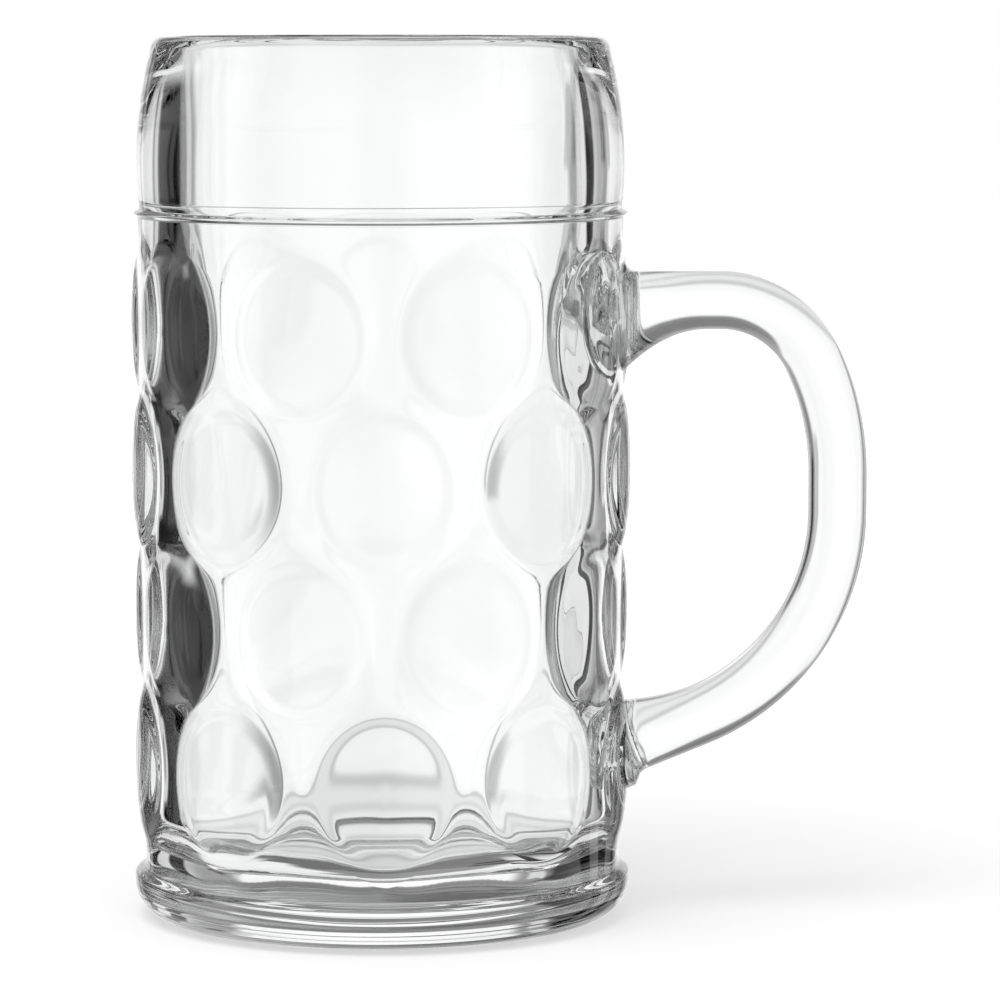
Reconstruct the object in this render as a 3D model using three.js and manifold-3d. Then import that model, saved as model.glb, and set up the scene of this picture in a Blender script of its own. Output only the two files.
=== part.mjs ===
// A tall, thick-walled glass beer mug with round eyes on its sides and a loop handle welded on hot.
// Millimetres, +Z up. The origin lies on the table, under the middle of the mug and handle together.
// The handle points along +X.

import * as THREE from 'three';
import { mergeVertices, toCreasedNormals } from 'three/addons/utils/BufferGeometryUtils.js';
import Module from 'manifold-3d';

// Driving dimensions of the vessel
const mugHeight = 200;
const wallRadius = 55.2;
const wallTaper = 1;
const wallThickness = 8.8;
const floorHeight = 14;
const floorCornerRadius = 11;
const lipThickness = 5.6;
const lipRound = 2.2;
const bandHeight = 41;
const bandProud = 0.6;
const bandBelly = 4;
const ridgeProud = 2.2;
const ridgeWidth = 2.8;
const footProud = 1.4;
const footHeight = 9.5;
const footStep = 1.6;
const heelRadius = 7.5;
const standingRingWidth = 11.1;
const pushUp = 2;

// Driving dimensions of the eyes
const eyeHalfWidth = 15.4;
const eyeHalfHeight = 17.4;
const eyeDome = 0.5;
const rimHeight = 1.6;
const rimWidth = 3.2;
const rowPitch = 33.2;
const columnPitch = 38;
const patternLift = 1.05;
const patternTurn = THREE.MathUtils.degToRad(2);

// Driving dimensions of the handle
const gripThickness = 13.3;
const gripWidth = 21;
const gripSquareness = 2.5;
const gripLength = 8.6;
const fingerRoom = 42.2;
const upperArmHeight = 140.3;
const upperBendRadius = 23.2;
const upperBendTurn = THREE.MathUtils.degToRad(65);
const shoulderRadius = 62;
const lowerArmHeight = 38;
const lowerArmSlope = THREE.MathUtils.degToRad(22);
const upperPadSwell = 9.5;
const lowerPadSwell = 4.5;
const padWidth = 25;
const padLength = 18.8;
const weldGap = 0.3;

// Facets
const vesselSegments = 60;
const eyeSegments = 16;
const eyeRings = 2;
const handleSteps = 40;
const handleSides = 18;
const arcSteps = 4;
const creaseAngle = THREE.MathUtils.degToRad(16);

// Heights, radii and counts that follow from the sizes above
const boreRadius = wallRadius - wallThickness;
const lipRadius = boreRadius + lipThickness;
const ridgeHeight = mugHeight - bandHeight;
const bandRadius = wallRadius + bandProud;
const ridgeRadius = wallRadius + ridgeProud;
const footRadius = wallRadius + footProud;
const standingRingRadius = footRadius - heelRadius - standingRingWidth;
const rowCount = Math.floor((ridgeHeight - footHeight) / rowPitch);
const columnCount = Math.floor((2 * Math.PI * wallRadius) / columnPitch);
const columnAngle = (2 * Math.PI) / columnCount;
const firstRowHeight = (ridgeHeight + footHeight - (rowCount - 1) * rowPitch) / 2 + patternLift;
const gripRadius = wallRadius + fingerRoom + gripThickness / 2;
const reach = gripRadius + gripThickness / 2;
const vesselX = (Math.max(ridgeRadius, footRadius) - reach) / 2;
const frontAngle = patternTurn - Math.PI / 2;

// Allowances for cutting and joining
const overshoot = 5;
const mergeDistance = 1e-4;

const wasm = await Module();
wasm.setup();

// Turns a closed geometry into a solid that can be joined and cut.
function solidFrom(geometry) {
  geometry.deleteAttribute('normal');
  geometry.deleteAttribute('uv');
  const merged = mergeVertices(geometry, mergeDistance);
  return new wasm.Manifold(new wasm.Mesh({
    numProp: 3,
    vertProperties: new Float32Array(merged.attributes.position.array),
    triVerts: new Uint32Array(merged.index.array),
  }));
}

// Turns a solid back into a geometry for a mesh.
function geometryFrom(solid) {
  const { vertProperties, triVerts } = solid.getMesh();
  const geometry = new THREE.BufferGeometry();
  geometry.setAttribute('position', new THREE.BufferAttribute(vertProperties, 3));
  geometry.setIndex(new THREE.BufferAttribute(triVerts, 1));
  return toCreasedNormals(geometry, creaseAngle);
}

// Revolves an outline of radius and height about the vertical axis.
function revolved(outline, segments) {
  const geometry = new THREE.LatheGeometry(outline, segments);
  return geometry.rotateX(Math.PI / 2);
}

// Radius of the plain wall between the eyes, which narrows towards the foot.
function landRadius(height) {
  return wallRadius - (wallTaper * (ridgeHeight - height)) / (ridgeHeight - footHeight);
}

// The outside of the vessel as a solid body: underside, heel, foot, wall, ridge and barrel-shaped band.
function outerOutline(grow) {
  const ridgeBottom = ridgeHeight - ridgeWidth / 2;
  const bandBottom = ridgeHeight + ridgeWidth / 2;
  const bandTop = mugHeight - lipRound;
  const ridgeReach = 2 * ridgeRadius - (wallRadius + bandRadius) / 2;
  const bandReach = (bandRadius + lipRadius) / 2 + bandBelly;
  const outline = new THREE.Path();
  outline.moveTo(0, pushUp);
  outline.quadraticCurveTo(standingRingRadius / 2, pushUp, standingRingRadius, 0);
  outline.lineTo(footRadius + grow - heelRadius, 0);
  outline.absarc(footRadius + grow - heelRadius, heelRadius, heelRadius, -Math.PI / 2, 0, false);
  outline.lineTo(footRadius + grow, footHeight);
  outline.lineTo(landRadius(footHeight + footStep) + grow, footHeight + footStep);
  outline.lineTo(landRadius(ridgeBottom) + grow, ridgeBottom);
  outline.quadraticCurveTo(ridgeReach + grow, ridgeHeight, bandRadius + grow, bandBottom);
  outline.quadraticCurveTo(bandReach + grow, (bandBottom + bandTop) / 2, lipRadius + grow, bandTop);
  outline.absarc(lipRadius + grow - lipRound, bandTop, lipRound, 0, Math.PI / 2, false);
  outline.lineTo(0, mugHeight);
  return outline.getPoints(arcSteps);
}

// The hollow inside: a flat floor with a rounded corner, a straight bore and a rolled lip.
function hollowOutline() {
  const outline = new THREE.Path();
  outline.moveTo(0, floorHeight);
  outline.lineTo(boreRadius - floorCornerRadius, floorHeight);
  const cornerHeight = floorHeight + floorCornerRadius;
  outline.absarc(boreRadius - floorCornerRadius, cornerHeight, floorCornerRadius, -Math.PI / 2, 0, false);
  outline.lineTo(boreRadius, mugHeight - lipRound);
  outline.absarc(boreRadius + lipRound, mugHeight - lipRound, lipRound, Math.PI, Math.PI / 2, true);
  outline.lineTo(boreRadius + lipRound, mugHeight + overshoot);
  outline.lineTo(0, mugHeight + overshoot);
  return outline.getPoints(arcSteps);
}

// One eye: a low dome with a sloping rim, wrapped round the wall and rooted in it.
function eyeGeometry(angle, height, grow) {
  const rimSlope = rimHeight / rimWidth;
  const rimInside = eyeHalfHeight - rimWidth / 2;
  const brim = eyeHalfHeight + rimWidth;
  const brimHeight = rimHeight - rimSlope * (brim - rimInside);
  const dome = new THREE.Path();
  dome.moveTo(0, brimHeight - overshoot);
  dome.lineTo(brim, brimHeight - overshoot);
  dome.lineTo(brim, brimHeight);
  dome.lineTo(rimInside, rimHeight);
  dome.quadraticCurveTo(rimInside / 2, rimHeight + eyeDome, 0, rimHeight + eyeDome);
  const geometry = new THREE.LatheGeometry(dome.getPoints(eyeRings), eyeSegments);
  const position = geometry.attributes.position;
  const squeeze = eyeHalfWidth / eyeHalfHeight;
  for (let i = 0; i < position.count; i += 1) {
    const turn = angle - (position.getX(i) * squeeze) / wallRadius;
    const up = height + position.getZ(i);
    const radius = landRadius(up) + grow + position.getY(i);
    position.setXYZ(i, radius * Math.cos(turn), radius * Math.sin(turn), up);
  }
  return geometry;
}

// The outside of the vessel with its eyes, moved outwards by grow so that a neighbour can be cut to it.
function eyedBody(grow) {
  let body = solidFrom(revolved(outerOutline(grow), vesselSegments));
  for (let row = 0; row < rowCount; row += 1) {
    const height = firstRowHeight + row * rowPitch;
    const stagger = row % 2 === 0 ? 0 : columnAngle / 2;
    for (let column = 0; column < columnCount; column += 1) {
      const angle = frontAngle + stagger + column * columnAngle;
      body = body.add(solidFrom(eyeGeometry(angle, height, grow)));
    }
  }
  return body;
}

function vesselGeometry() {
  const hollow = solidFrom(revolved(hollowOutline(), vesselSegments));
  return geometryFrom(eyedBody(0).subtract(hollow));
}

// The middle line of the handle, as distance from the vessel's axis and height: a level upper arm, a tight
// bend that opens into a wide shoulder, a short straight grip, a wide lower bend and a sloping lower arm.
function handleLine() {
  const buried = (boreRadius + wallRadius) / 2;
  const shoulderX = gripRadius - shoulderRadius;
  const opening = shoulderRadius - upperBendRadius;
  const upperBendX = shoulderX + opening * Math.sin(upperBendTurn);
  const upperBendHeight = upperArmHeight - upperBendRadius;
  const shoulderHeight = upperBendHeight - opening * Math.cos(upperBendTurn);
  const shoulderStart = Math.PI / 2 - upperBendTurn;
  const lowerBendHeight = shoulderHeight - gripLength;
  const slope = Math.tan(lowerArmSlope);
  const drop = lowerBendHeight - lowerArmHeight - (gripRadius - wallRadius) * slope;
  const lowerBendRadius = drop / (Math.cos(lowerArmSlope) - (1 - Math.sin(lowerArmSlope)) * slope);
  const lowerBendX = gripRadius - lowerBendRadius;
  const lowerBendEnd = lowerArmSlope - Math.PI / 2;
  const line = new THREE.Path();
  line.moveTo(buried, upperArmHeight);
  line.lineTo(upperBendX, upperArmHeight);
  line.absarc(upperBendX, upperBendHeight, upperBendRadius, Math.PI / 2, shoulderStart, true);
  line.absarc(shoulderX, shoulderHeight, shoulderRadius, shoulderStart, 0, true);
  line.lineTo(gripRadius, lowerBendHeight);
  line.absarc(lowerBendX, lowerBendHeight, lowerBendRadius, 0, lowerBendEnd, true);
  line.lineTo(buried, lowerArmHeight - (wallRadius - buried) * slope);
  return line;
}

// One rounded section across the handle. Towards the wall it widens into a pad and swells inside the loop.
function handleSection(point, tangent, isUpper) {
  const nearness = THREE.MathUtils.clamp(1 - (point.x - wallRadius) / padLength, 0, 1) ** 2;
  const swell = nearness * (isUpper ? upperPadSwell : lowerPadSwell);
  const halfWidth = THREE.MathUtils.lerp(gripWidth, padWidth, nearness) / 2;
  const ring = [];
  for (let side = 0; side < handleSides; side += 1) {
    const turn = (side / handleSides) * 2 * Math.PI;
    const halfThickness = gripThickness / 2 + (Math.cos(turn) > 0 ? swell : 0);
    const inward = halfThickness * rounded(Math.cos(turn));
    const across = halfWidth * rounded(Math.sin(turn));
    ring.push(new THREE.Vector3(point.x + inward * tangent.y, across, point.y - inward * tangent.x));
  }
  return ring;
}

// Flattens a circle's sine or cosine towards a rounded square.
function rounded(value) {
  return Math.sign(value) * Math.abs(value) ** (2 / gripSquareness);
}

// Joins rings of equal length, and closes both ends.
function loft(rings) {
  const sides = rings[0].length;
  const points = rings.flat();
  const faces = [];
  for (let i = 0; i < rings.length - 1; i += 1) {
    for (let j = 0; j < sides; j += 1) {
      const next = (j + 1) % sides;
      const [a, b] = [i * sides + j, i * sides + next];
      faces.push(a, b, b + sides, a, b + sides, a + sides);
    }
  }
  for (const end of [0, rings.length - 1]) {
    const middle = points.length;
    const centre = new THREE.Vector3();
    rings[end].forEach((point) => centre.addScaledVector(point, 1 / sides));
    points.push(centre);
    for (let j = 0; j < sides; j += 1) {
      const [here, next] = [end * sides + j, end * sides + ((j + 1) % sides)];
      faces.push(middle, ...(end === 0 ? [next, here] : [here, next]));
    }
  }
  const geometry = new THREE.BufferGeometry().setFromPoints(points);
  geometry.setIndex(faces);
  return geometry;
}

// The handle, with its two pads shaped to the wall and the eyes that they are welded to.
function handleGeometry() {
  const line = handleLine();
  const rings = [];
  for (let step = 0; step <= handleSteps; step += 1) {
    const along = step / handleSteps;
    const isUpper = step < handleSteps / 2;
    rings.push(handleSection(line.getPointAt(along), line.getTangentAt(along), isUpper));
  }
  const handle = solidFrom(loft(rings));
  return geometryFrom(handle.subtract(eyedBody(weldGap)));
}

function glass(name) {
  const material = new THREE.MeshStandardMaterial({ color: 0xf1f6f5, roughness: 0.03, metalness: 0 });
  material.name = name;
  material.transparent = true;
  material.opacity = 0.35;
  return material;
}

function part(name, geometry, material) {
  const mesh = new THREE.Mesh(geometry, material);
  mesh.name = name;
  return mesh;
}

const mug = new THREE.Group();
mug.name = 'beer_mug';
mug.position.x = vesselX;
mug.add(part('mug_body', vesselGeometry(), glass('body_glass')));
mug.add(part('handle', handleGeometry(), glass('handle_glass')));

export default mug;
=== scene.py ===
# %% [markdown]
# # A glass beer mug with raised eyes
# The mug is two pieces of clear glass: a thick pressed vessel, and a loop handle welded to it while hot.
# Glass has no colour to paint, so its look comes from three things: a smooth fine mesh, a glass shader,
# and a light set-up with something dark at the sides for the edges to bend into view.
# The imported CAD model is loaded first. It is the fixed frame: the vessel's axis and height come from it.

# %% Load the frame
import math

import bmesh
import bpy
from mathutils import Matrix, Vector


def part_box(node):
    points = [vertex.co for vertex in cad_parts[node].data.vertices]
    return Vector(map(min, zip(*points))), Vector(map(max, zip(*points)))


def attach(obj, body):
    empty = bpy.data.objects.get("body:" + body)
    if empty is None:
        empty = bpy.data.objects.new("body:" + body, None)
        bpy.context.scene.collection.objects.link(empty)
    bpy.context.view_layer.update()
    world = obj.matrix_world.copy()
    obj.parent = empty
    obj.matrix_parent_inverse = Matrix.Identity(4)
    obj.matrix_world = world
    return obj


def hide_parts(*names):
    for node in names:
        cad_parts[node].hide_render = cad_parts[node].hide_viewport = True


MM = 0.001
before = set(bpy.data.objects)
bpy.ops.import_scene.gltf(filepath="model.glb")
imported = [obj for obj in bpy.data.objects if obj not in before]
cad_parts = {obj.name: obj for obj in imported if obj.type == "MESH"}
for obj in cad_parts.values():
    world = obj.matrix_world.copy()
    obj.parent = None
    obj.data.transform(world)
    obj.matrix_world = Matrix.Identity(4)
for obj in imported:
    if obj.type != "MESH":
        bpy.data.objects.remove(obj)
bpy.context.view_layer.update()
body_low, body_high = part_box("mug_body")
axis_x = (body_low.x + body_high.x) / 2
mug_height = body_high.z
print(f"vessel axis at x = {axis_x / MM:.1f} mm, mug {mug_height / MM:.1f} mm tall")

# %% [markdown]
# ## Camera
# The mug was photographed from a little above its rim with a long lens, so its sides look almost parallel.
# A camera could be turned by eye until the picture fits. Here its height, tilt and lens come from the
# ellipses of the rim and the foot, because they only agree at one viewing height.

# %% Camera
camera_place = (0.0004, -1.1, 0.208)
camera_tilt = math.radians(5.89)
sensor_width = 36
lens_length = 174.3
view_reach = 20


def deselect_all():
    """Leaves edit mode and clears the selection."""
    if bpy.context.mode != "OBJECT":
        bpy.ops.object.mode_set(mode="OBJECT")
    bpy.ops.object.select_all(action="DESELECT")


deselect_all()
bpy.ops.object.camera_add(location=camera_place, rotation=(math.pi / 2 - camera_tilt, 0, 0))
camera = bpy.context.object
camera.name = "camera"
camera.data.sensor_width = sensor_width
camera.data.lens = lens_length
camera.data.clip_end = view_reach
bpy.context.scene.camera = camera
print(f"camera {camera_place[2]} m high, {lens_length} mm lens")

# %% [markdown]
# ## Sizes of the vessel
# Sizes are written in millimetres, and MM turns them into Blender's metres. The vessel's wall narrows a
# little towards a heavy foot. Above it are a ridge ring and a barrel-shaped drinking band. The bore narrows
# downwards too. Round raised eyes lie on the wall in a staggered lattice: every second row is turned by
# half a column. The sizes could stand where they are used, but together they are easier to compare.

# %% Sizes of the vessel
wall_radius = 55.2 * MM
wall_taper = 1 * MM
bore_radius = 45.8 * MM
bore_taper = 1.4 * MM
floor_height = 14 * MM
floor_corner = 11 * MM
lip_radius = 52 * MM
lip_round = 3 * MM
band_radius = wall_radius - 0.4 * MM
band_belly = 3.2 * MM
ridge_height = mug_height - 39.6 * MM
ridge_half = 1 * MM
ridge_radius = wall_radius + 0.9 * MM
foot_radius = wall_radius + 1.4 * MM
foot_height = 9.5 * MM
foot_step = 1.6 * MM
heel_radius = 7.5 * MM
ring_radius = 38 * MM
push_up = 2 * MM
column_count = 9
row_count = 4
row_pitch = 33.2 * MM
first_row = 35.5 * MM
pattern_turn = math.radians(2)
column_pitch = 2 * math.pi * wall_radius / column_count
print(f"eye columns {column_pitch / MM:.1f} mm apart, first row at {first_row / MM:.1f} mm")

# %% [markdown]
# ## How the eyes rise
# The press forms each eye as a low dome with a step round it, and the fire polish that follows
# rounds the step. Each eye could be raised with a sculpting brush. Here one function gives the rise at
# any place on the wall, so that the eyes and the handle's pads, which lie on them, agree.

# %% Rise of the eyes
eye_half_width = 15.4 * MM
eye_half_height = 17.4 * MM
eye_dome = 1.6 * MM
rim_height = 0.7 * MM
rim_width = 7 * MM
rim_softness = 0.1 * MM


def land_radius(height):
    """Radius of the plain wall between the eyes, which narrows towards the foot."""
    return wall_radius - wall_taper * (ridge_height - height) / (ridge_height - foot_height)


def eye_profile(spread):
    """Rise of an eye at a distance from its middle, where 1 is its edge: a low dome on a rounded step."""
    dome = eye_dome * (1 - spread * spread)
    dome = (dome + math.hypot(dome, rim_softness)) / 2
    across = (spread - 1) * 2 * eye_half_width / rim_width
    step = rim_height * (1 - math.sin(min(max(across, -1), 1) * math.pi / 2)) / 2
    return dome + step


def eye_rise(arc, height):
    """How far the wall stands out, at an arc length from the pattern's front and a height."""
    nearest = math.inf
    for row in range(row_count):
        shifted = arc - (row % 2) * column_pitch / 2
        across = shifted - column_pitch * round(shifted / column_pitch)
        along = height - first_row - row * row_pitch
        nearest = min(nearest, math.hypot(across / eye_half_width, along / eye_half_height))
    return eye_profile(nearest)


top_rise, land_rise = eye_rise(0, first_row), eye_rise(column_pitch / 2, first_row)
print(f"eyes rise {top_rise / MM:.2f} mm, the land between them {land_rise / MM:.2f} mm")

# %% [markdown]
# ## One eye and the land round it
# The wall could be sculpted or displaced, but then its mesh would not follow the round edges.
# The staggered eyes tile the wall like a honeycomb, so one six-sided cell is modelled and copied.
# It starts as a small disc. Its rim is extruded and scaled again and again into a polar grid, and the
# grid's rings are then moved in code: round ones inside the eye, and the six-sided border outside.

# %% A polar grid
cell_sides = 6
cell_side_points = 12
cell_points = cell_sides * cell_side_points
# Rings as shares of the eye's radius. They lie closest round its edge, where the wall bends most.
inner_rings = [0, 0.15, 0.3, 0.45, 0.58, 0.68, 0.76, 0.81]
edge_start = 0.85
edge_gap = 0.03
edge_rings = 10
ring_spreads = inner_rings + [edge_start + edge_gap * step for step in range(edge_rings)]
border_ring = len(ring_spreads) + 1


def polar_disc(points, rings):
    """Adds a flat disc with rings that are 1 apart, left in edit mode with its rim selected."""
    deselect_all()
    bpy.ops.mesh.primitive_circle_add(vertices=points, radius=1, fill_type="TRIFAN")
    bpy.ops.object.mode_set(mode="EDIT")
    bpy.ops.mesh.select_mode(type="EDGE")
    bpy.ops.mesh.region_to_loop()
    for ring in range(1, rings):
        bpy.ops.mesh.extrude_edges_move()
        growth = (ring + 1) / ring
        bpy.ops.transform.resize(value=(growth, growth, 1))
    return bpy.context.object


cell = polar_disc(cell_points, border_ring)
bpy.ops.object.mode_set(mode="OBJECT")
print(f"polar grid of {len(cell.data.vertices)} points")

# %% Shape the cell
corner_high = 21.8 * MM
corner_low = row_pitch - corner_high
cell_corners = [
    Vector((column_pitch / 2, -corner_low)),
    Vector((column_pitch / 2, corner_low)),
    Vector((0, corner_high)),
    Vector((-column_pitch / 2, corner_low)),
    Vector((-column_pitch / 2, -corner_low)),
    Vector((0, -corner_high)),
]


def border_point(spoke):
    """Point of the six-sided border, counted anticlockwise from its lower right corner."""
    side, step = divmod(spoke % cell_points, cell_side_points)
    return cell_corners[side].lerp(cell_corners[(side + 1) % cell_sides], step / cell_side_points)


def cell_place(spoke, ring):
    """Place of a grid point on the flat cell."""
    border = border_point(spoke)
    edge = border / math.hypot(border.x / eye_half_width, border.y / eye_half_height)
    if ring == border_ring:
        return border
    if ring == border_ring - 1:
        return (edge * ring_spreads[-1]).lerp(border, 0.5)
    return edge * ring_spreads[ring]


for vertex in cell.data.vertices:
    ring = round(math.hypot(vertex.co.x, vertex.co.y))
    spoke = round(math.atan2(vertex.co.y, vertex.co.x) / (2 * math.pi) * cell_points)
    flat = cell_place(spoke, ring)
    vertex.co = (flat.x, flat.y, 0)
print(f"cell {column_pitch / MM:.1f} mm wide and {2 * corner_high / MM:.1f} mm tall")

# %% [markdown]
# ## The honeycomb wall
# An Array modifier repeats the cell along a row, and each row is copied upwards with half a column's
# shift. The flat sheet is then wrapped round the wall and raised. Wrapping could be done with a
# Simple Deform modifier, but in code the rise of the eyes is set in the same step.

# %% Copy the cells
deselect_all()
cell.select_set(True)
bpy.context.view_layer.objects.active = cell
row_array = cell.modifiers.new("row", "ARRAY")
row_array.count = column_count
row_array.use_relative_offset = False
row_array.use_constant_offset = True
row_array.constant_offset_displace = (column_pitch, 0, 0)
bpy.ops.object.modifier_apply(modifier=row_array.name)
bpy.ops.transform.translate(value=(0, first_row, 0))
rows = [cell]
for row in range(1, row_count):
    bpy.ops.object.duplicate()
    shift = column_pitch / 2 if row % 2 else -column_pitch / 2
    bpy.ops.transform.translate(value=(shift, row_pitch, 0))
    rows.append(bpy.context.object)
for piece in rows:
    piece.select_set(True)
bpy.context.view_layer.objects.active = cell
bpy.ops.object.join()
bpy.ops.object.transform_apply(location=True, rotation=True, scale=True)
print(f"{row_count} rows of {column_count} cells, {len(cell.data.vertices)} points")

# %% Wrap the wall
weld_distance = 0.02 * MM
wall = cell
wall.name = "mug_glass"


def turned(turn, radius, height):
    """A place at a turn from the front, a distance from the axis and a height."""
    return Vector((radius * math.sin(turn), -radius * math.cos(turn), height))


def on_vessel(arc, height, out):
    """A place on the wall: an arc length from the pattern's front, a height and a distance out of it."""
    return turned(arc / wall_radius + pattern_turn, land_radius(height) + out, height)


def arc_of(place):
    """Arc length of a place from the pattern's front."""
    return (math.atan2(place.x, -place.y) - pattern_turn) * wall_radius


for vertex in wall.data.vertices:
    arc, height, _ = vertex.co
    vertex.co = on_vessel(arc, height, eye_rise(arc, height))
bpy.ops.object.mode_set(mode="EDIT")
bpy.ops.mesh.select_all(action="SELECT")
bpy.ops.mesh.remove_doubles(threshold=weld_distance)
print(f"wall of {len(wall.data.vertices)} points before welding")

# %% [markdown]
# ## Straight borders
# The honeycomb ends in a zigzag above and below. Each zigzag is extruded, and the new edge is
# flattened to a level ring, ready to meet the turned parts. Cutting the zigzag off with Bisect would
# leave rings whose points don't match those of the turned parts.

# %% Straight borders
top_margin = 0.2 * MM
bottom_margin = 0.3 * MM
wall_top = ridge_height - ridge_half - top_margin
wall_bottom = foot_height + foot_step + bottom_margin


def level_border(height, is_top):
    """Extrudes the upper or lower zigzag and flattens it to a ring on the plain wall."""
    bpy.ops.mesh.select_mode(type="EDGE")
    bpy.ops.mesh.select_all(action="DESELECT")
    bpy.ops.mesh.select_non_manifold()
    grid = bmesh.from_edit_mesh(wall.data)
    for edge in grid.edges:
        middle = (edge.verts[0].co.z + edge.verts[1].co.z) / 2
        if edge.select and (middle > mug_height / 2) != is_top:
            edge.select_set(False)
    grid.select_flush_mode()
    bmesh.update_edit_mesh(wall.data)
    bpy.ops.mesh.extrude_edges_move()
    grid = bmesh.from_edit_mesh(wall.data)
    moved = [vertex for vertex in grid.verts if vertex.select]
    for vertex in moved:
        vertex.co = on_vessel(arc_of(vertex.co), height, 0)
    bmesh.update_edit_mesh(wall.data)
    return len(moved)


print(f"rings of {level_border(wall_top, True)} and {level_border(wall_bottom, False)} points")
bpy.ops.object.mode_set(mode="OBJECT")

# %% [markdown]
# ## The turned parts
# Ridge ring, band, lip, bore and floor are one outline, and foot, heel and underside are another.
# Each is drawn by extruding a single vertex from point to point, and Spin turns it round the axis with
# as many steps as the wall's rings have points, so that they weld.

# %% Outline helpers
vessel_steps = 2 * cell_side_points * column_count
print(f"outlines are turned in {vessel_steps} steps")


def arc_points(centre_radius, centre_height, radius, start, end, steps):
    """Points along an arc, as radius and height, from one angle in degrees to another."""
    points = []
    for step in range(steps + 1):
        angle = math.radians(start + (end - start) * step / steps)
        points.append((centre_radius + radius * math.cos(angle), centre_height + radius * math.sin(angle)))
    return points


def swept_points(start, control, end, steps):
    """Points along a smooth sweep from start to end that leans towards a control point."""
    points = []
    for step in range(steps + 1):
        share = step / steps
        pulls = ((1 - share) ** 2, 2 * share * (1 - share), share * share)
        radius = sum(pull * place[0] for pull, place in zip(pulls, (start, control, end)))
        height = sum(pull * place[1] for pull, place in zip(pulls, (start, control, end)))
        points.append((radius, height))
    return points


def draw_outline(name, outline):
    """Draws a chain of edges at the front of the vessel by extruding one vertex along it."""
    points = [turned(pattern_turn, radius, height) for radius, height in outline]
    deselect_all()
    bpy.ops.mesh.primitive_plane_add(size=1)
    drawn = bpy.context.object
    drawn.name = name
    bpy.ops.object.mode_set(mode="EDIT")
    bpy.ops.mesh.select_mode(type="VERT")
    bpy.ops.mesh.merge(type="CENTER")
    bpy.ops.transform.translate(value=points[0])
    for here, there in zip(points, points[1:]):
        bpy.ops.mesh.extrude_vertices_move(TRANSFORM_OT_translate={"value": there - here})
    return drawn


def turn_outline(drawn):
    """Spins an outline once round the vessel's axis."""
    bpy.ops.mesh.select_all(action="SELECT")
    bpy.ops.mesh.spin(steps=vessel_steps, angle=2 * math.pi, center=(0, 0, 0), axis=(0, 0, 1))
    bpy.ops.mesh.select_all(action="SELECT")
    bpy.ops.mesh.remove_doubles(threshold=weld_distance)
    bpy.ops.object.mode_set(mode="OBJECT")
    print(f"{drawn.name}: {len(drawn.data.vertices)} points")


# %% Band, lip and bore
ridge_steps = 10
band_steps = 16
round_steps = 8
bore_steps = 20
corner_steps = 14
floor_steps = 5
upper_outline = [(land_radius(wall_top), wall_top)]
ridge_foot = land_radius(ridge_height - ridge_half)
for step in range(ridge_steps + 1):
    across = 2 * step / ridge_steps - 1
    base = ridge_foot + (band_radius - ridge_foot) * step / ridge_steps
    swell = (ridge_radius - (ridge_foot + band_radius) / 2) * math.cos(across * math.pi / 2) ** 2
    upper_outline.append((base + swell, ridge_height + across * ridge_half))
band_bottom = (band_radius, ridge_height + ridge_half)
band_top = (lip_radius, mug_height - lip_round)
band_middle = ((band_radius + lip_radius) / 2 + band_belly, (band_bottom[1] + band_top[1]) / 2)
upper_outline += swept_points(band_bottom, band_middle, band_top, band_steps)[1:]
upper_outline += arc_points(lip_radius - lip_round, band_top[1], lip_round, 0, 90, round_steps)[1:]
upper_outline += arc_points(bore_radius + lip_round, band_top[1], lip_round, 90, 180, round_steps)
bore_foot = floor_height + floor_corner
for step in range(1, bore_steps):
    down = step / bore_steps
    upper_outline.append((bore_radius - bore_taper * down, band_top[1] + (bore_foot - band_top[1]) * down))
floor_radius = bore_radius - bore_taper - floor_corner
upper_outline += arc_points(floor_radius, bore_foot, floor_corner, 0, -90, corner_steps)
for step in range(1, floor_steps + 1):
    upper_outline.append((floor_radius * (1 - step / floor_steps), floor_height))
upper_part = draw_outline("upper_part", upper_outline)
turn_outline(upper_part)

# %% Foot and underside
crease_steps = 6
heel_steps = 14
push_up_steps = 12
# A point in the middle of the standing ring and one near its inner edge keep it flat when shaded.
ring_supports = (ring_radius + 6 * MM, ring_radius + 1 * MM)
crease_radius = land_radius(wall_bottom)
lower_outline = [(crease_radius, wall_bottom)]
for step in range(crease_steps + 1):
    across = step / crease_steps
    radius = crease_radius + (foot_radius - crease_radius) * across * across * (3 - 2 * across)
    lower_outline.append((radius, foot_height + foot_step * (1 - across)))
lower_outline += arc_points(foot_radius - heel_radius, heel_radius, heel_radius, 0, -90, heel_steps)
lower_outline += [(support, 0) for support in ring_supports]
lower_outline += swept_points((ring_radius, 0), (ring_radius / 2, push_up), (0, push_up), push_up_steps)
lower_part = draw_outline("lower_part", lower_outline)
turn_outline(lower_part)

# %% Join the vessel


def close_shell(piece, distance):
    """Merges doubled points, turns the faces outwards, smooths them and counts the edges left open."""
    bpy.ops.object.mode_set(mode="EDIT")
    bpy.ops.mesh.select_all(action="SELECT")
    bpy.ops.mesh.remove_doubles(threshold=distance)
    bpy.ops.mesh.normals_make_consistent(inside=False)
    bpy.ops.mesh.select_all(action="DESELECT")
    bpy.ops.mesh.select_non_manifold()
    open_edges = sum(edge.select for edge in bmesh.from_edit_mesh(piece.data).edges)
    bpy.ops.object.mode_set(mode="OBJECT")
    bpy.ops.object.shade_smooth()
    return open_edges


deselect_all()
for piece in (wall, upper_part, lower_part):
    piece.select_set(True)
bpy.context.view_layer.objects.active = wall
bpy.ops.object.join()
open_edges = close_shell(wall, weld_distance)
bpy.ops.transform.translate(value=(axis_x, 0, 0))
bpy.ops.object.transform_apply(location=True, rotation=True, scale=True)
print(f"vessel of {len(wall.data.polygons)} faces, {open_edges} open edges")

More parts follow.
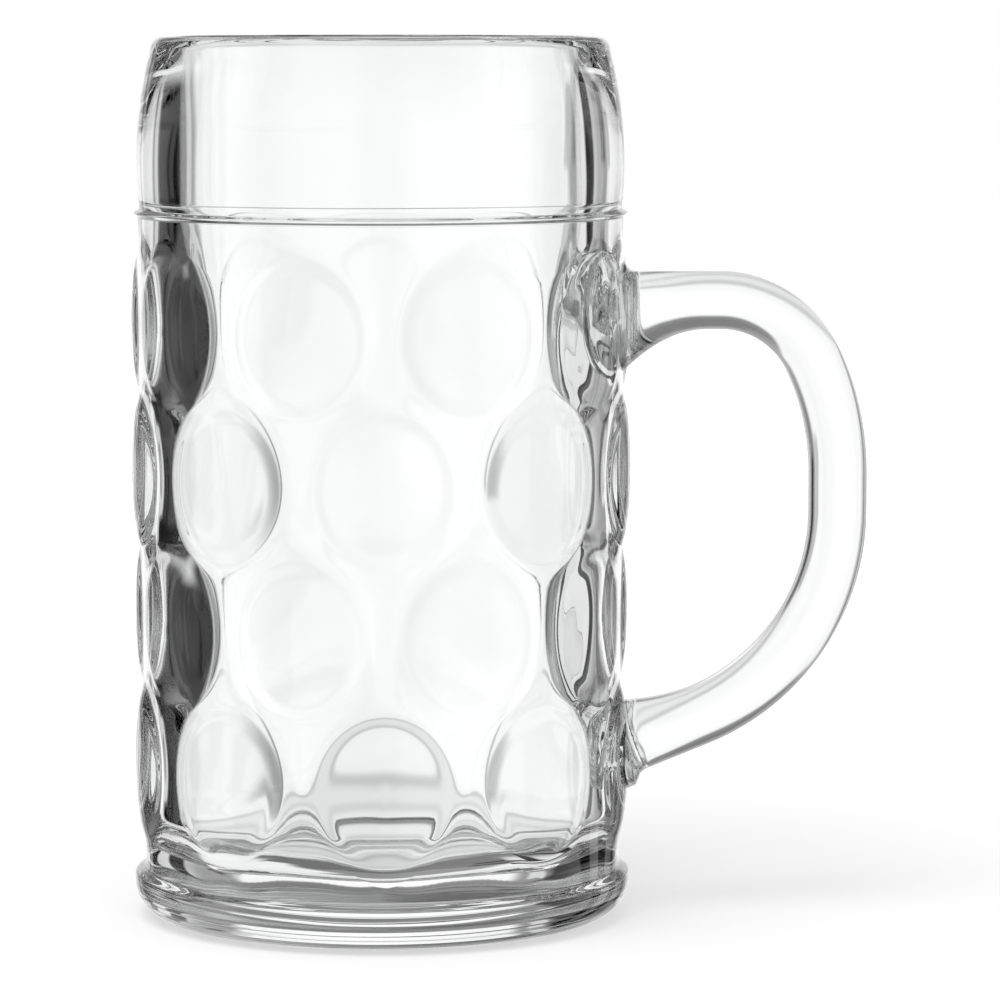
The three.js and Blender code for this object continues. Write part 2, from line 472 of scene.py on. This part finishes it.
# %% [markdown]
# ## The handle
# The handle is a bar of hot glass that is pressed to the wall at the top, bent round and pressed on
# again at the bottom. It is modelled in the same order: a straight bar is extruded ring by ring, and its
# points are then moved along the bent line. A curve with a bevel would give the bend too, but not the
# pads, which widen and lie on the wall and its eyes.

# %% Line of the handle
grip_thickness = 13.3 * MM
grip_width = 21 * MM
finger_gap = 42.2 * MM
grip_radius = wall_radius + finger_gap + grip_thickness / 2
upper_arm = 140.3 * MM
upper_bend = 23.2 * MM
upper_turn = math.radians(65)
shoulder_bend = 62 * MM
lower_arm = 38 * MM
lower_slope = math.radians(22)
lower_bend = 51 * MM
lower_turn = math.pi / 2 - lower_slope
bury_depth = 4.4 * MM
buried = wall_radius - bury_depth
shoulder_x = grip_radius - shoulder_bend
upper_x = shoulder_x + (shoulder_bend - upper_bend) * math.sin(upper_turn)
upper_height = upper_arm - upper_bend
shoulder_height = upper_height - (shoulder_bend - upper_bend) * math.cos(upper_turn)
lower_x = grip_radius - lower_bend
arm_start_x = lower_x + lower_bend * math.cos(lower_turn)
arm_start_height = lower_arm + (arm_start_x - wall_radius) * math.tan(lower_slope)
lower_height = arm_start_height + lower_bend * math.sin(lower_turn)
stretches = [
    upper_x - buried,
    upper_bend * upper_turn,
    shoulder_bend * (math.pi / 2 - upper_turn),
    shoulder_height - lower_height,
    lower_bend * lower_turn,
    (arm_start_x - buried) / math.cos(lower_slope),
]
line_length = sum(stretches)


def arc_at(centre_x, centre_height, radius, turn):
    """Place and direction on a bend that starts level at its top and turns downwards and back."""
    x, height = centre_x + radius * math.sin(turn), centre_height + radius * math.cos(turn)
    return x, height, math.cos(turn), -math.sin(turn)


def straight_at(x, height, turn, along):
    """Place and direction on a straight stretch that leaves a place at a turn."""
    step_x, step_height = math.cos(turn), -math.sin(turn)
    return x + along * step_x, height + along * step_height, step_x, step_height


def line_at(along):
    """Place and direction of the handle's middle line at a distance along it, as x, height, x, height."""
    stretch = 0
    while stretch < len(stretches) - 1 and along > stretches[stretch]:
        along -= stretches[stretch]
        stretch += 1
    if stretch == 0:
        return straight_at(buried, upper_arm, 0, along)
    if stretch == 1:
        return arc_at(upper_x, upper_height, upper_bend, along / upper_bend)
    if stretch == 2:
        return arc_at(shoulder_x, shoulder_height, shoulder_bend, upper_turn + along / shoulder_bend)
    if stretch == 3:
        return straight_at(grip_radius, shoulder_height, math.pi / 2, along)
    if stretch == 4:
        return arc_at(lower_x, lower_height, lower_bend, math.pi / 2 + along / lower_bend)
    return straight_at(arm_start_x, arm_start_height, math.pi / 2 + lower_turn, along)


print(f"handle line {line_length / MM:.0f} mm long, grip {grip_radius / MM:.1f} mm from the axis")

# %% [markdown]
# ## Sections and pads
# Across the grip the bar is a rounded rectangle. Towards the wall it widens and swells inside the
# loop, where the soft glass sagged, and a small fillet runs round the weld.
# Each line along the bar is followed until it meets the wall, and the bar ends there. It is sunk in by a
# fraction of a millimetre, so that light passes from one glass into the other as it does in a real weld.

# %% Sections and pads
bar_points = 48
grip_squareness = 2.5
pad_width = 25 * MM
pad_length = 18.8 * MM
upper_swell = 9.5 * MM
lower_swell = 4.5 * MM
weld_fillet = 2.5 * MM
weld_sink = 0.3 * MM
halvings = 40


def rounded(value):
    """Flattens a sine or cosine towards a rounded rectangle."""
    return math.copysign(abs(value) ** (2 / grip_squareness), value)


def bar_place(along, spoke):
    """Place on the bar's skin, from the vessel's axis, at a distance along the line and a spoke round it."""
    x, height, step_x, step_height = line_at(along)
    reach = x - wall_radius
    nearness = min(max(1 - reach / pad_length, 0), 1) ** 2
    fillet = weld_fillet * min(max(1 - reach / weld_fillet, 0), 1) ** 2
    swell = nearness * (upper_swell if along < line_length / 2 else lower_swell)
    half_width = (grip_width + (pad_width - grip_width) * nearness) / 2 + fillet
    turn = 2 * math.pi * spoke / bar_points
    growth = swell if math.cos(turn) > 0 else fillet
    inward = (grip_thickness / 2 + growth) * rounded(math.cos(turn))
    across = half_width * rounded(math.sin(turn))
    return Vector((x + inward * step_height, across, height - inward * step_x))


def outside_wall(place):
    """How far a place lies outside the wall and its eyes, less the sink of the weld."""
    rise = eye_rise(arc_of(place), place.z)
    return math.hypot(place.x, place.y) - land_radius(place.z) - rise + weld_sink


def weld_along(spoke, inside, outside):
    """Distance along the line at which a spoke meets the wall, found by halving."""
    for _ in range(halvings):
        middle = (inside + outside) / 2
        if outside_wall(bar_place(middle, spoke)) < 0:
            inside = middle
        else:
            outside = middle
    return outside


clear_upper = wall_radius + pad_length / 2 - buried
clear_lower = line_length - clear_upper / math.cos(lower_slope)
upper_weld = [weld_along(spoke, 0, clear_upper) for spoke in range(bar_points)]
lower_weld = [weld_along(spoke, line_length, clear_lower) for spoke in range(bar_points)]
print(f"upper weld from {min(upper_weld) / MM:.1f} to {max(upper_weld) / MM:.1f} mm along the line")

# %% A straight bar
pad_rings = 5
weld_steps = 12
grip_steps = 96
bar_steps = 2 * weld_steps + grip_steps
handle = polar_disc(bar_points, pad_rings)
handle.name = "handle_glass"
for step in range(bar_steps):
    bpy.ops.mesh.extrude_edges_move(TRANSFORM_OT_translate={"value": (0, 0, 1)})
for ring in range(pad_rings - 1, 0, -1):
    bpy.ops.mesh.extrude_edges_move()
    growth = ring / (ring + 1)
    bpy.ops.transform.resize(value=(growth, growth, 1))
bpy.ops.mesh.extrude_edges_move()
bpy.ops.mesh.merge(type="CENTER")
bpy.ops.object.mode_set(mode="OBJECT")
print(f"straight bar of {len(handle.data.vertices)} points")

# %% Bend the bar
weld_crowding = 1.5
slide_steps = 12
rim_share = 0.99
pad_weld = weld_distance / 4


def along_at(step, spoke):
    """Distance along the line of a ring of the bar: crowded at the welds, evenly spread in the grip."""
    if step < weld_steps:
        share = (step / weld_steps) ** weld_crowding
        return upper_weld[spoke] + (clear_upper - upper_weld[spoke]) * share
    if step > weld_steps + grip_steps:
        share = ((bar_steps - step) / weld_steps) ** weld_crowding
        return lower_weld[spoke] + (clear_lower - lower_weld[spoke]) * share
    return clear_upper + (clear_lower - clear_upper) * (step - weld_steps) / grip_steps


def on_wall(place):
    """Moves a place of a pad along the handle's direction onto the wall."""
    moved = place.copy()
    for _ in range(slide_steps):
        moved.x -= outside_wall(moved)
    return moved


def pad_place(share, spoke, welds):
    """Place on the face of a pad: a share of the way from its middle to its rim."""
    rim = bar_place(welds[spoke], spoke)
    middle = (bar_place(welds[0], 0) + bar_place(welds[bar_points // 2], bar_points // 2)) / 2
    return on_wall(middle.lerp(rim, share))


for vertex in handle.data.vertices:
    step = round(vertex.co.z)
    share = math.hypot(vertex.co.x, vertex.co.y) / pad_rings
    spoke = round(math.atan2(vertex.co.y, vertex.co.x) / (2 * math.pi) * bar_points) % bar_points
    if share < rim_share:
        place = pad_place(share, spoke, upper_weld if step == 0 else lower_weld)
    else:
        place = bar_place(along_at(step, spoke), spoke)
    vertex.co = place + Vector((axis_x, 0, 0))
open_edges = close_shell(handle, pad_weld)
print(f"handle of {len(handle.data.polygons)} faces, {open_edges} open edges")

# %% [markdown]
# ## Clear glass
# Soda-lime glass bends light by a factor of about 1.52. A Glass shader could make it, but the Principled
# shader with full transmission is the one that other programs understand. Pressed glass is not quite
# even: its skin keeps slow waves from the mould, which a noise bump gives.

# %% Clear glass
glass_tint = (0.985, 0.992, 0.99, 1)
glass_bend = 1.52
body_wave_size = 26 * MM
body_wave_height = 0.12 * MM
handle_wave_size = 18 * MM
handle_wave_height = 0.1 * MM


def clear_glass(name, wave_size, wave_height):
    """Clear pressed glass with slow waves in its skin."""
    material = bpy.data.materials.new(name)
    material.use_nodes = True
    nodes, links = material.node_tree.nodes, material.node_tree.links
    shader = nodes["Principled BSDF"]
    shader.inputs["Base Color"].default_value = glass_tint
    shader.inputs["Transmission Weight"].default_value = 1
    shader.inputs["IOR"].default_value = glass_bend
    shader.inputs["Roughness"].default_value = 0
    place = nodes.new("ShaderNodeTexCoord")
    waves = nodes.new("ShaderNodeTexNoise")
    waves.inputs["Scale"].default_value = 1 / wave_size
    waves.inputs["Detail"].default_value = 1
    bump = nodes.new("ShaderNodeBump")
    bump.inputs["Strength"].default_value = 1
    bump.inputs["Distance"].default_value = wave_height
    links.new(place.outputs["Object"], waves.inputs["Vector"])
    links.new(waves.outputs["Fac"], bump.inputs["Height"])
    links.new(bump.outputs["Normal"], shader.inputs["Normal"])
    return material


wall.data.materials.clear()
wall.data.materials.append(clear_glass("body_glass", body_wave_size, body_wave_height))
handle.data.materials.clear()
handle.data.materials.append(clear_glass("handle_glass", handle_wave_size, handle_wave_height))
print(f"two glass materials with waves of {body_wave_size / MM:.0f} and {handle_wave_size / MM:.0f} mm")

# %% [markdown]
# ## The studio round the glass
# Clear glass has no shade of its own: each place on it shows a bent view of the room. In a studio it
# stands before a bright backdrop, with dark cards beside it that its edges bend into view. Planes could be
# set up as cards, but they would stand in the way of other views. Here they are painted on the world as
# panels with soft borders. Only rays that the glass reflects or lets through see them, and to all others
# the world is plain white.

# %% World
most_bounces = 32
glossy_bounces = 16
scene = bpy.context.scene
scene.view_settings.view_transform = "Standard"
scene.cycles.max_bounces = most_bounces
scene.cycles.transmission_bounces = most_bounces
scene.cycles.glossy_bounces = glossy_bounces
world = bpy.data.worlds.new("studio")
scene.world = world
world.use_nodes = True
room = world.node_tree
print(f"light is followed through the glass for {most_bounces} bounces")

# %% Node helpers


def feed(tree, socket, value):
    """Sets a socket to a number, or links it to another node's output."""
    if isinstance(value, (int, float)):
        socket.default_value = value
    else:
        tree.links.new(value, socket)


def calculate(tree, operation, *values):
    """Output of a Math node that is fed with outputs or numbers."""
    node = tree.nodes.new("ShaderNodeMath")
    node.operation = operation
    for socket, value in zip(node.inputs, values):
        feed(tree, socket, value)
    return node.outputs["Value"]


def mix(tree, share, first, second):
    """Output of a Mix node that goes from the first to the second as the share goes from 0 to 1."""
    node = tree.nodes.new("ShaderNodeMix")
    for name, value in (("Factor", share), ("A", first), ("B", second)):
        feed(tree, node.inputs[name], value)
    return node.outputs["Result"]


def fade(tree, value, start, end, first, last):
    """A smooth change from first to last while a value goes from start to end."""
    node = tree.nodes.new("ShaderNodeMapRange")
    node.interpolation_type = "SMOOTHSTEP"
    tree.links.new(value, node.inputs["Value"])
    for name, number in zip(("From Min", "From Max", "To Min", "To Max"), (start, end, first, last)):
        node.inputs[name].default_value = number
    return node.outputs["Result"]


print("helpers for Math, Mix and Map Range nodes")

# %% A panel
half_turn = 180
direction = room.nodes.new("ShaderNodeTexCoord")
split = room.nodes.new("ShaderNodeSeparateXYZ")
room.links.new(direction.outputs["Generated"], split.inputs["Vector"])
turn_seen = calculate(room, "DEGREES", calculate(room, "ARCTAN2", split.outputs["X"], split.outputs["Y"]))
rise_seen = calculate(room, "DEGREES", calculate(room, "ARCSINE", split.outputs["Z"]))


def panel(level, brightness, turn, half_width, low, high, soft):
    """Lays a panel over the room's brightness: degrees from straight behind the mug, and degrees up."""
    aside = calculate(room, "WRAP", calculate(room, "SUBTRACT", turn_seen, turn), half_turn, -half_turn)
    mask = fade(room, calculate(room, "ABSOLUTE", aside), half_width - soft, half_width + soft, 1, 0)
    mask = calculate(room, "MULTIPLY", mask, fade(room, rise_seen, low - soft, low + soft, 0, 1))
    mask = calculate(room, "MULTIPLY", mask, fade(room, rise_seen, high - soft, high + soft, 1, 0))
    return mix(room, mask, level, brightness)


print("directions are measured from straight behind the mug, towards the handle")

# %% Panels
room_brightness = 0.3
outside_brightness = 1
# Each panel has its brightness and, in degrees, its turn, half its width, its lower and upper edge
# and half the width of its soft border. A later panel covers an earlier one.
panels = [
    (0.8, 90, 50, -40, 30, 6),  # wall on the handle's side
    (0.95, 138, 28, -50, 12, 8),  # wall in front, towards the handle's side
    (0.92, -92, 19, -40, 20, 5),  # wall on the left
    (0.05, -148, 32, -60, 60, 5),  # dark card in front, on the left
    (0.95, 0, 40, -44, -30, 5),  # table behind the mug
    (0.89, 0, 30, -30, -20, 4),  # far end of the table
    (1, 0, 24.2, -19, 12, 2),  # backdrop
    (1.05, 0, 15, -15, 11, 4),  # brighter middle of the backdrop
    (1.11, 0, 6, -10, 9, 4),  # brightest spot of the backdrop
    (0.18, 180, 140, -95, -44, 4),  # painted shade: table top in front and at the sides, darkened as if in the mug's shadow
    (0.25, 0, 181, 56, 95, 4),  # grey ceiling
    (0.22, 0, 60, 16, 30, 4),  # dark strip above the backdrop
    (0.7, -29.5, 2.2, -25, 10, 0.8),  # slit of light between the backdrop and the left card
    (0, -52, 19, -17, 60, 2),  # black card on the left
    (0.95, -45, 30, -60, -21, 4),  # table below the left card
    (0.55, 23, 2.2, -14, -2, 0.9),  # grey strip on the backdrop's right edge
    (0.02, 45, 4, -60, 60, 1),  # narrow black card on the right
    (0.05, 30, 2.5, -20, -3, 1),  # short black card beside the backdrop's right edge
    (0, 62, 4, -60, 60, 1),  # second narrow black card on the right
]
level = room_brightness
for measures in panels:
    level = panel(level, *measures)
light_path = room.nodes.new("ShaderNodeLightPath")
reflected, let_through = light_path.outputs["Is Glossy Ray"], light_path.outputs["Is Transmission Ray"]
by_glass = calculate(room, "MAXIMUM", reflected, let_through)
backdrop = room.nodes["Background"]
backdrop.inputs["Color"].default_value = (1, 1, 1, 1)
room.links.new(mix(room, by_glass, outside_brightness, level), backdrop.inputs["Strength"])
print(f"{len(panels)} panels in a room of brightness {room_brightness}")

# %% [markdown]
# ## Floor and lamp
# The mug stands on a plain white table. Paper could be swept up behind it, but the world is white already,
# so a wide flat disc is enough. It glows up to white by itself, a little less near the mug, so that the
# soft shadow from a large lamp shows on its grey paint. The glass sees neither of them: it sees the panels.

# %% Floor
floor_reach = 4
floor_drop = 0.4 * MM
floor_sides = 64
floor_grey = 0.3
glow_near = 0.1
glow_far = 0.7
glow_least = 0.6
glow_most = 1
deselect_all()
bpy.ops.mesh.primitive_circle_add(
    vertices=floor_sides, radius=floor_reach, fill_type="NGON", location=(0, 0, -floor_drop)
)
floor = bpy.context.object
floor.name = "floor"
bpy.ops.object.transform_apply(location=True)
print(f"floor disc of {floor_reach} m, {floor_drop / MM:.1f} mm under the mug")

# %% Floor paint
floor_paint = bpy.data.materials.new("floor_paint")
floor_paint.use_nodes = True
paint = floor_paint.node_tree
paint.nodes.remove(paint.nodes["Principled BSDF"])
diffuse = paint.nodes.new("ShaderNodeBsdfDiffuse")
diffuse.inputs["Color"].default_value = (floor_grey, floor_grey, floor_grey, 1)
place = paint.nodes.new("ShaderNodeTexCoord")
away = paint.nodes.new("ShaderNodeVectorMath")
away.operation = "LENGTH"
paint.links.new(place.outputs["Object"], away.inputs[0])
glow = paint.nodes.new("ShaderNodeEmission")
glow_strength = fade(paint, away.outputs["Value"], glow_near, glow_far, glow_least, glow_most)
paint.links.new(glow_strength, glow.inputs["Strength"])
both = paint.nodes.new("ShaderNodeAddShader")
paint.links.new(diffuse.outputs["BSDF"], both.inputs[0])
paint.links.new(glow.outputs["Emission"], both.inputs[1])
paint.links.new(both.outputs["Shader"], paint.nodes["Material Output"].inputs["Surface"])
floor.data.materials.append(floor_paint)
floor.visible_glossy = False
floor.visible_transmission = False
print(f"floor glows from {glow_least} near the mug to {glow_most} at {glow_far} m")

# %% Lamp
lamp_place = (-0.3, -0.5, 1.2)
lamp_target = Vector((0, 0, 0.05))
lamp_size = 0.9
lamp_power = 12
deselect_all()
bpy.ops.object.light_add(type="AREA", location=lamp_place)
lamp = bpy.context.object
lamp.name = "soft_lamp"
lamp.data.shape = "DISK"
lamp.data.size = lamp_size
lamp.data.energy = lamp_power
lamp.rotation_euler = (lamp_target - lamp.location).to_track_quat("-Z", "Y").to_euler()
lamp.visible_glossy = False
lamp.visible_transmission = False
print(f"lamp of {lamp_power} W, {lamp_place[2]} m above the table")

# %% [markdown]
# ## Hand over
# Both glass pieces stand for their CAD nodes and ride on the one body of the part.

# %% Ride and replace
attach(wall, "root")
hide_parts("mug_body")
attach(handle, "root")
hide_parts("handle")
